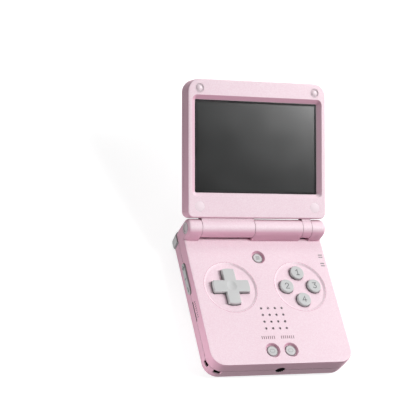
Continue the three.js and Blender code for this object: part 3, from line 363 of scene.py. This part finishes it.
def near_well(edge):
    """Whether an edge lies on the shallow rim of one of the two round wells in the base's face."""
    x, y, z = (edge.verts[0].co + edge.verts[1].co) / 2 / MM
    reach = math.hypot(abs(x) - WELL_X, y - WELL_Y)
    return z > WELL_LOW and reach < WELL_REACH


def crisp(work, angle=SHARP_ANGLE):
    """Smooth over facets, sharp at real edges."""
    for face in work.faces:
        face.smooth = True
    for edge in work.edges:
        limit = math.radians(RIM_ANGLE if near_well(edge) else angle)
        edge.smooth = len(edge.link_faces) == 2 and edge.calc_face_angle(math.pi) < limit


def piece_of(name, work, material, like):
    """A finished piece from a bmesh in metres, riding with the node that it is fixed to."""
    mesh = bpy.data.meshes.new(name)
    work.to_mesh(mesh)
    work.free()
    mesh.materials.append(material)
    piece = bpy.data.objects.new(name, mesh)
    collection.objects.link(piece)
    weighted = piece.modifiers.new("flat_faces", "WEIGHTED_NORMAL")
    weighted.keep_sharp = True
    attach(piece, BODY_OF[like])
    return piece


def dress(node, material=None):
    """A finished copy of a CAD node: welded, its flat faces whole, crisp at real edges."""
    work = bmesh.new()
    work.from_mesh(frame["nodes"][node].data)
    bmesh.ops.remove_doubles(work, verts=work.verts, dist=WELD)
    flat = math.radians(FLAT_ANGLE)
    parts = {"verts": work.verts, "edges": work.edges}
    bmesh.ops.dissolve_limit(work, angle_limit=flat, delimit=set(), **parts)
    crisp(work)
    piece = piece_of(node + "_finish", work, material or MATERIALS[SLOT_OF[node]], node)
    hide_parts(node)
    return piece


def lathe(work, centre, axis, side, profile, steps=40):
    """A turned form from radii and heights along the axis, in millimetres.

    The profile starts and ends on the axis, or comes back to its start and makes a ring.
    """
    other = axis.cross(side)
    turns = [2 * math.pi * i / steps for i in range(steps)]
    rings = []
    for i, (radius, height) in enumerate(profile):
        middle = centre + axis * height
        if i and (radius, height) == profile[0]:
            rings.append(rings[0])
            continue
        if radius == 0:
            rings.append([work.verts.new(middle * MM)])
            continue
        ring = []
        for turn in turns:
            outward = side * math.cos(turn) + other * math.sin(turn)
            ring.append(work.verts.new((middle + outward * radius) * MM))
        rings.append(ring)
    for a, b in zip(rings, rings[1:]):
        for i in range(steps):
            j = (i + 1) % steps
            corners = [a[i % len(a)], a[j % len(a)], b[j % len(b)], b[i % len(b)]]
            distinct = list(dict.fromkeys(corners))
            if len(distinct) > 2:
                work.faces.new(distinct)
    bmesh.ops.recalc_face_normals(work, faces=work.faces)


def turned(name, centre, axis, side, profile, material, like, steps=40):
    """A piece of one turned form."""
    work = bmesh.new()
    lathe(work, centre, axis, side, profile, steps)
    crisp(work, TURNED_ANGLE)
    return piece_of(name, work, material, like)


MITRE_LIMIT = 0.5


def ribbon(work, points, width, place, lift, closed=False):
    """One printed stroke: a flat strip with mitred corners, as high over its surface as under."""
    count = len(points)
    half = width / 2
    flat = [Vector(p) for p in points]
    rows = []
    for i, here in enumerate(flat):
        before = flat[i - 1] if (i or closed) else None
        after = flat[(i + 1) % count] if (i < count - 1 or closed) else None
        into = (here - before).normalized() if before is not None else None
        out = (after - here).normalized() if after is not None else None
        along = ((into or out) + (out or into)).normalized()
        across = Vector((-along.y, along.x))
        stretch = 1 / max(MITRE_LIMIT, across.dot(Vector((-(into or out).y, (into or out).x))))
        end = 0 if (into and out) else (half if into else -half)
        centre = here + along * end
        rows.append([centre + across * half * stretch, centre - across * half * stretch])
    tops = [[work.verts.new(place(p, lift)) for p in row] for row in rows]
    lows = [[work.verts.new(place(p, -lift)) for p in row] for row in rows]
    for i in range(count if closed else count - 1):
        j = (i + 1) % count
        (a, b), (c, d) = tops[i], tops[j]
        (e, f), (g, h) = lows[i], lows[j]
        for face in ((a, b, d, c), (e, g, h, f), (a, c, g, e), (b, f, h, d)):
            work.faces.new(face)
    if not closed:
        for row, low in ((tops[0], lows[0]), (tops[-1], lows[-1])):
            work.faces.new((row[0], row[1], low[1], low[0]))
    bmesh.ops.recalc_face_normals(work, faces=work.faces)


def printed(
    name, strokes, origin, u, v, size, width, material, like, lift=0.03,
):
    """Printed strokes laid on a surface; one that ends where it starts is closed."""
    def place(point, height):
        return (origin + u * point.x + v * point.y + u.cross(v) * height) * MM

    work = bmesh.new()
    for stroke in strokes:
        closed = stroke[0] == stroke[-1]
        points = [(x * size, y * size) for x, y in (stroke[:-1] if closed else stroke)]
        ribbon(work, points, width, place, lift, closed)
    crisp(work)
    return piece_of(name, work, material, like)


def pill(half_x, half_y, steps=8):
    """A closed outline with round ends."""
    run = half_x - half_y
    right = [-math.pi / 2 + math.pi * i / steps for i in range(steps + 1)]
    points = [(run + half_y * math.cos(t), half_y * math.sin(t)) for t in right]
    points += [(-run - half_y * math.cos(t), -half_y * math.sin(t)) for t in right]
    return points + [points[0]]


def row_of_ticks(start, pitch, count, half):
    """Short upright strokes side by side."""
    places = [start + i * pitch for i in range(count)]
    return [[(x, -half), (x, half)] for x in places]


for name, node in frame["nodes"].items():
    node.data.materials.clear()
    node.data.materials.append(MATERIALS[SLOT_OF[name]])

OWN_FINISH = {"hinge_cap": CAP_FINISH, "volume_rocker": ROCKER_FINISH}
TURNED_ANEW = ("lid_bumper_1", "lid_bumper_2", "lid_bumper_3", "lid_bumper_4")
for name in frame["nodes"]:
    if name not in TURNED_ANEW:
        dress(name, OWN_FINISH.get(name))

# Bumpers of the lid: a low dome by the hinge, a ring round a dome at the free edge
PAINT = MATERIALS["pearl_pink"]
BUMPER_X = 35.5
BUMPER_BY_HINGE, BUMPER_AT_END = 11.85, 77.0
LOW_DOME = [(0, 0.14), (1.0, 0.12), (1.8, 0.08), (2.4, 0.04), (2.84, 0.01), (2.88, -0.5), (0, -0.5)]
RING_DOME = [
    (0, 0.28), (0.6, 0.25), (1.1, 0.15), (1.55, -0.04), (1.8, -0.26), (1.9, -0.26),
    (1.96, -0.02), (2.08, 0.1), (2.22, 0.06), (2.3, -0.12), (2.32, -0.6), (0, -0.6),
]
COLLAR = [
    (2.42, 0.0), (2.95, 0.015), (2.98, -0.05), (2.88, -0.08), (2.88, -0.6), (2.44, -0.6),
    (2.42, 0.0),
]
for number, x, along, profile, finish in (
    (1, -BUMPER_X, BUMPER_BY_HINGE, LOW_DOME, FLUSH_FINISH),
    (2, -BUMPER_X, BUMPER_AT_END, RING_DOME, BUMPER_FINISH),
    (3, BUMPER_X, BUMPER_BY_HINGE, LOW_DOME, FLUSH_FINISH),
    (4, BUMPER_X, BUMPER_AT_END, RING_DOME, BUMPER_FINISH),
):
    node = "lid_bumper_%d" % number
    place = lid_point(x, along, LID_FACE)
    piece = turned(node + "_finish", place, LID_OUT, X, profile, finish, node)
    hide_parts(node)
    if profile is RING_DOME:
        turned(node + "_collar", place, LID_OUT, X, COLLAR, PAINT, "lid_front_shell")

# Numbers on the four action buttons
DIGITS = {
    "1": [[(-0.24, 0.3), (0.04, 0.5), (0.04, -0.5)], [(-0.22, -0.5), (0.3, -0.5)]],
    "2": [[
        (-0.3, 0.26), (-0.22, 0.43), (0, 0.5), (0.22, 0.43), (0.3, 0.24), (0.2, 0.02),
        (-0.3, -0.5), (0.34, -0.5),
    ]],
    "3": [[
        (-0.28, 0.5), (0.3, 0.5), (0, 0.1), (0.2, 0.04), (0.31, -0.16), (0.24, -0.4),
        (0, -0.5), (-0.3, -0.36),
    ]],
    "4": [[(0.14, -0.5), (0.14, 0.5), (-0.34, -0.2), (0.36, -0.2)]],
}
ACTION_CIRCLE, ACTION_TOP = 8.5, 17.5
DIGIT_SIZE, DIGIT_WIDTH = 3.3, 0.42
for digit, node, x, y in (
    ("1", "action_button_up", 0, 1),
    ("2", "action_button_left", -1, 0),
    ("3", "action_button_right", 1, 0),
    ("4", "action_button_down", 0, -1),
):
    place = Vector((WELL_X + x * ACTION_CIRCLE, WELL_Y + y * ACTION_CIRCLE, ACTION_TOP))
    printed("digit_" + digit, DIGITS[digit], place, X, Y, DIGIT_SIZE, DIGIT_WIDTH, PRINT, node)

# Marks on the small buttons, and rows of ticks in the place of words
BARS = [[(-0.5, h), (0.5, h)] for h in (-0.4, 0, 0.4)]
BARS_SIZE, BARS_WIDTH = 1.9, 0.3
MENU_TOP = Vector((0, 22.7, 15.5))
printed("menu_mark", BARS, MENU_TOP, X, Y, BARS_SIZE, BARS_WIDTH, PRINT, "menu_button")
PAIR_X, PAIR_Y, PAIR_TOP = 5.45, -35.3, 15.6
PILL, PILL_SIZE, PILL_WIDTH = (0.5, 0.3), 2.9, 0.2
for side, node in ((-1, "select_button"), (1, "start_button")):
    place = Vector((side * PAIR_X, PAIR_Y, PAIR_TOP))
    printed(node + "_mark", [pill(*PILL)], place, X, Y, PILL_SIZE, PILL_WIDTH, FAINT_PRINT, node)
TICK, TICK_WIDTH, TICK_PITCH, TICKS = 0.7, 0.45, 1.22, 7
CAPTIONS = Vector((0, -27.6, FACE_Z))
for name, start in (("left", -10.0), ("right", 1.6)):
    printed(
        name + "_caption", row_of_ticks(start, TICK_PITCH, TICKS, TICK), CAPTIONS, X, Y, 1,
        TICK_WIDTH, PINK_PRINT, "base_upper_shell",
    )

# Plus, a middle notch and minus on the volume rocker
ROCKER_X, ROCKER_Y, ROCKER_Z, ROCKER_MARK = -43.4, 12.99, 9.5, 6.8
PLUS = [[(-0.5, 0), (0.5, 0)], [(0, -0.5), (0, 0.5)]]
MINUS = [[(-0.5, 0), (0.5, 0)]]
NOTCH = [[(0, -0.5), (0, 0.5)]]
for name, strokes, shift, size, width in (
    ("plus", PLUS, ROCKER_MARK, 2.2, 0.7),
    ("notch", NOTCH, 0, 2.5, 0.4),
    ("minus", MINUS, -ROCKER_MARK, 2.2, 0.7),
):
    place = Vector((ROCKER_X, ROCKER_Y + shift, ROCKER_Z))
    printed("volume_" + name, strokes, place, -Y, Z, size, width, DARK_PRINT, "volume_rocker")

# Painted shade over the mouths of the card slots as dark strips, and a printed scale beside the
# left one
MOUTH_X, MOUTH_Z, MOUTH_LONG, MOUTH_WIDE, MOUTH_LIFT = 42.43, 9.45, 11.2, 0.95, 0.06
for name, side, y in (("left", -1, -7.41), ("right", 1, -9.7)):
    line = [[(-MOUTH_LONG / 2, 0), (MOUTH_LONG / 2, 0)]]
    place = Vector((side * MOUTH_X, y, MOUTH_Z))
    printed(
        name + "_card_mouth_shade", line, place, Y * side, Z, 1, MOUTH_WIDE, SHADE_AND_PRINT_BLACK, "base_upper_shell",
        lift=MOUTH_LIFT,
    )
SCALE, SCALE_WIDTH, SCALE_PITCH, SCALE_MARKS = 0.5, 0.55, 1.3, 8
SCALE_START = Vector((-42.5, -2.8, 12.0))
printed(
    "card_scale", row_of_ticks(0, SCALE_PITCH, SCALE_MARKS, SCALE), SCALE_START, -Y, Z, 1,
    SCALE_WIDTH, PINK_PRINT, "base_upper_shell",
)

# A fine pink line round each well, painted shade in its crease, with a pale one inside it on the
# slope, a painted highlight
WELL_SHADE_LINE = [(15.58, 0.012), (15.74, 0.012), (15.74, -0.02), (15.58, -0.02), (15.58, 0.012)]
WELL_HIGHLIGHT = [(15.26, -0.155), (15.56, -0.005), (15.56, -0.05), (15.26, -0.2), (15.26, -0.155)]
WELL_STEPS = 96
for side_name, side in (("left", -1), ("right", 1)):
    place = Vector((side * WELL_X, WELL_Y, FACE_Z))
    for mark, profile, finish in (
        ("_well_line", WELL_SHADE_LINE, SHADE_LINE_FINISH),
        ("_well_gleam", WELL_HIGHLIGHT, HIGHLIGHT_FINISH),
    ):
        name = side_name + mark
        turned(name, place, Z, X, profile, finish, "base_upper_shell", steps=WELL_STEPS)

# Dark cup in each speaker hole: its floor the dark cloth under the grille, its wall and a fine rim
# round its mouth painted shade
GRILLE_Y, GRILLE_PITCH, GRILLE_HOLES, CUP_STEPS = -15.9, 4.15, 4, 16
SHADE_CUP = [
    (0, -0.2), (0.35, -0.15), (0.6, 0.02), (0.72, 0.03), (0.74, -0.03), (0.48, -0.05),
    (0.48, -0.6), (0, -0.6),
]
work = bmesh.new()
offsets = [(i - (GRILLE_HOLES - 1) / 2) * GRILLE_PITCH for i in range(GRILLE_HOLES)]
for x in offsets:
    for y in offsets:
        lathe(work, Vector((x, GRILLE_Y + y, FACE_Z)), Z, X, SHADE_CUP, CUP_STEPS)
crisp(work)
piece_of("speaker_cloth_and_shade", work, SHADE_AND_PRINT_BLACK, "base_upper_shell")

# Painted shade in the headphone mouth: a dark lining of its wall and floor
JACK_FRONT = Vector((0, -43.6, 8.7))
JACK_SHADE_LINING = [
    (2.86, -0.3), (2.7, -1.62), (1.8, -1.7), (1.8, -1.78), (2.84, -1.78), (2.88, -0.32),
    (2.86, -0.3),
]
turned("jack_shade_lining", JACK_FRONT, -Y, X, JACK_SHADE_LINING, SHADE_AND_PRINT_BLACK, "base_lower_shell")

# Painted shade in the strap channel: a dark lining of its inner wall, floor, ceiling and two ends
CORNER_X, CORNER_Y = -34.3, -35.4
STRAP_FROM, STRAP_TO, END_TURN, STRAP_STEPS = 183.2, 266.8, 0.6, 14
CHANNEL_IN, CHANNEL_OUT, CHANNEL_LOW, CHANNEL_HIGH, SHEET = 4.64, 7.3, 5.92, 8.86, 0.07


def arc_block(work, near, far, low, high, start, end, steps):
    """A block between two radii round the strap corner, from one turn to another."""
    rows = []
    for i in range(steps + 1):
        turn = math.radians(start + (end - start) * i / steps)
        outward = Vector((math.cos(turn), math.sin(turn), 0))
        middle = Vector((CORNER_X, CORNER_Y, 0))
        corners = ((near, low), (far, low), (far, high), (near, high))
        rows.append([work.verts.new((middle + outward * r + Z * z) * MM) for r, z in corners])
    for a, b in zip(rows, rows[1:]):
        for i in range(4):
            j = (i + 1) % 4
            work.faces.new((a[i], a[j], b[j], b[i]))
    work.faces.new(rows[0])
    work.faces.new(rows[-1])


work = bmesh.new()
inner_side = (CHANNEL_IN, CHANNEL_IN + SHEET, CHANNEL_LOW, CHANNEL_HIGH)
floor_side = (CHANNEL_IN, CHANNEL_OUT, CHANNEL_LOW, CHANNEL_LOW + SHEET)
ceiling_side = (CHANNEL_IN, CHANNEL_OUT, CHANNEL_HIGH - SHEET, CHANNEL_HIGH)
for side in (inner_side, floor_side, ceiling_side):
    arc_block(work, *side, STRAP_FROM, STRAP_TO, STRAP_STEPS)
whole = (CHANNEL_IN, CHANNEL_OUT, CHANNEL_LOW, CHANNEL_HIGH)
arc_block(work, *whole, STRAP_FROM - END_TURN, STRAP_FROM, 1)
arc_block(work, *whole, STRAP_TO, STRAP_TO + END_TURN, 1)
bmesh.ops.recalc_face_normals(work, faces=work.faces)
crisp(work)
piece_of("strap_shade_lining", work, STRAP_SHADE_LINER, "base_lower_shell")

# Black border printed on the window
WINDOW_ALONG, WINDOW_X, WINDOW_Y = 45.2, 37.4, 25.5
BORDER, BORDER_INSET, BORDER_LIFT = 0.95, 0.15, 0.02
half_x = WINDOW_X - BORDER / 2 - BORDER_INSET
half_y = WINDOW_Y - BORDER / 2 - BORDER_INSET
corners = [(-half_x, -half_y), (half_x, -half_y), (half_x, half_y), (-half_x, half_y)]
place = lid_point(0, WINDOW_ALONG, GLASS_FACE)
printed(
    "window_border", [corners + corners[:1]], place, X, LID_UP, 1, BORDER, SHADE_AND_PRINT_BLACK,
    "screen_window", BORDER_LIFT,
)


# Stage: the floor glows more with its distance from the part, and mirrors see a white backdrop
# up to a low height
FLOOR_SIZE, FLOOR_DROP = 6.0, 0.0002
FLOOR_SEEN, FLOOR_DRIFT, FLOOR_DRIFT_SCALE, FLOOR_BOUNCE = 0.34, 0.02, 3, 0.36
FLOOR_GLOW, FLOOR_NEAR, FLOOR_FAR = 0.82, 0.22, 0.6
HORIZON_LOW, HORIZON_HIGH = 0.12, 0.42
WORLD_SOFT = 0.04


def seen_rays(tree):
    """1 for camera, mirror and see-through rays, 0 for bounced light."""
    path = tree.nodes.new("ShaderNodeLightPath")
    total = path.outputs["Is Camera Ray"]
    for name in ("Is Glossy Ray", "Is Transmission Ray"):
        join = tree.nodes.new("ShaderNodeMath")
        join.operation = "MAXIMUM"
        tree.links.new(total, join.inputs[0])
        tree.links.new(path.outputs[name], join.inputs[1])
        total = join.outputs[0]
    return total


def plane(name, size, place):
    mesh = bpy.data.meshes.new(name)
    half = size / 2
    corners = [(-half, -half, 0), (half, -half, 0), (half, half, 0), (-half, half, 0)]
    mesh.from_pydata(corners, [], [(0, 1, 2, 3)])
    piece = bpy.data.objects.new(name, mesh)
    piece.location = place
    collection.objects.link(piece)
    return piece


def floor_material():
    """White to the eye and in reflections but for the shadow, greyer to bounced light."""
    n = Nodes("floor")
    grey, paler = [FLOOR_SEEN] * 3, [FLOOR_SEEN + FLOOR_DRIFT] * 3
    colour = n.ramp(n.noise(FLOOR_DRIFT_SCALE, 2), (NOISE_LOW, grey), (NOISE_HIGH, paler))
    n.link(colour, n.shader.inputs["Base Color"])
    n.set(Roughness=0.9, Specular_IOR_Level=0.1)
    away = n.add("ShaderNodeVectorMath", operation="LENGTH")
    n.link(n.coords.outputs["Object"], away.inputs[0])
    glow = n.add("ShaderNodeEmission")
    strength = n.spread(away.outputs["Value"], FLOOR_NEAR, FLOOR_FAR, FLOOR_GLOW, 1)
    n.link(strength, glow.inputs["Strength"])
    lit = n.add("ShaderNodeAddShader")
    n.link(n.shader.outputs[0], lit.inputs[0])
    n.link(glow.outputs[0], lit.inputs[1])
    dull = n.add("ShaderNodeBsdfDiffuse")
    dull.inputs["Color"].default_value = (FLOOR_BOUNCE, FLOOR_BOUNCE, FLOOR_BOUNCE, 1)
    mix = n.add("ShaderNodeMixShader")
    n.link(seen_rays(n.tree), mix.inputs[0])
    n.link(dull.outputs[0], mix.inputs[1])
    n.link(lit.outputs[0], mix.inputs[2])
    n.link(mix.outputs[0], n.tree.nodes["Material Output"].inputs["Surface"])
    return n.material


floor = plane("floor", FLOOR_SIZE, (0, 0, -FLOOR_DROP))
floor.data.materials.append(floor_material())


def area_light(name, place, target, size, power, mirrored):
    """A soft round lamp; one that isn't mirrored has no image in glossy surfaces."""
    data = bpy.data.lights.new(name, "AREA")
    data.shape = "DISK"
    data.size = size
    data.energy = power
    lamp = bpy.data.objects.new(name, data)
    lamp.location = place
    lamp.rotation_mode = "QUATERNION"
    lamp.rotation_quaternion = (Vector(target) - Vector(place)).to_track_quat("-Z", "Y")
    collection.objects.link(lamp)
    lamp.visible_glossy = mirrored
    return lamp


# Lamps: name, place, target, size and power, and whether glossy surfaces mirror it
MIDDLE = (0, 0.03, 0.02)
BARREL = (0, 0.06, 0.03)
LEFT_WALL = (-0.042, -0.01, 0.01)
for lamp in (
    ("key", (0.617, -0.1, 0.92), MIDDLE, 0.4, 8.45, True),
    ("right", (0.94, 0.03, 0.68), MIDDLE, 0.45, 5.0, False),
    ("back", (0, 0.83, 0.82), MIDDLE, 0.45, 2.6, True),
    ("back_right", (0.46, 0.49, 0.96), MIDDLE, 0.45, 0.5, True),
    ("back_left", (-0.57, 0.6, 0.82), MIDDLE, 0.45, 0.3, True),
    ("low_back", (0.12, 0.6, 0.12), BARREL, 0.3, 1.2, False),
):
    area_light(*lamp)
low_left = area_light("low_left", (-0.15, -0.055, 0.03), LEFT_WALL, 0.06, 0.1, False)
low_left.visible_camera = False


def world():
    """White to the eye, a white backdrop up to a low height in reflections, faint as a light."""
    w = bpy.data.worlds.new("studio")
    scene.world = w
    w.use_nodes = True
    tree = w.node_tree
    tree.nodes.clear()
    path = tree.nodes.new("ShaderNodeLightPath")
    coords = tree.nodes.new("ShaderNodeTexCoord")
    split = tree.nodes.new("ShaderNodeSeparateXYZ")
    fade = tree.nodes.new("ShaderNodeMapRange")
    tree.links.new(coords.outputs["Generated"], split.inputs[0])
    tree.links.new(split.outputs["Z"], fade.inputs["Value"])
    for name, number in zip(RANGE_SOCKETS, (HORIZON_LOW, HORIZON_HIGH, 1, WORLD_SOFT)):
        fade.inputs[name].default_value = number
    shades = []
    for strength in (WORLD_SOFT, 1.0, 1.0):
        shade = tree.nodes.new("ShaderNodeBackground")
        shade.inputs["Color"].default_value = (1, 1, 1, 1)
        shade.inputs["Strength"].default_value = strength
        shades.append(shade)
    soft, backdrop, white = shades
    tree.links.new(fade.outputs["Result"], backdrop.inputs["Strength"])
    mirrored = tree.nodes.new("ShaderNodeMixShader")
    tree.links.new(path.outputs["Is Glossy Ray"], mirrored.inputs[0])
    tree.links.new(soft.outputs[0], mirrored.inputs[1])
    tree.links.new(backdrop.outputs[0], mirrored.inputs[2])
    mix = tree.nodes.new("ShaderNodeMixShader")
    out = tree.nodes.new("ShaderNodeOutputWorld")
    tree.links.new(path.outputs["Is Camera Ray"], mix.inputs[0])
    tree.links.new(mirrored.outputs[0], mix.inputs[1])
    tree.links.new(white.outputs[0], mix.inputs[2])
    tree.links.new(mix.outputs[0], out.inputs["Surface"])


world()

# Camera
camera_data = bpy.data.cameras.new("camera")
camera_data.lens = LENS
camera_data.sensor_width = SENSOR
camera_data.clip_start = CLIP_NEAR
camera_data.clip_end = CLIP_FAR
camera = bpy.data.objects.new("camera", camera_data)
right, down, forward = Vector(CAMERA_RIGHT), Vector(CAMERA_DOWN), Vector(CAMERA_FORWARD)
turn = Matrix((right, -down, -forward)).transposed().to_4x4()
camera.matrix_world = Matrix.Translation(CAMERA_PLACE) @ turn
collection.objects.link(camera)
scene.camera = camera
scene.view_settings.view_transform = "Standard"
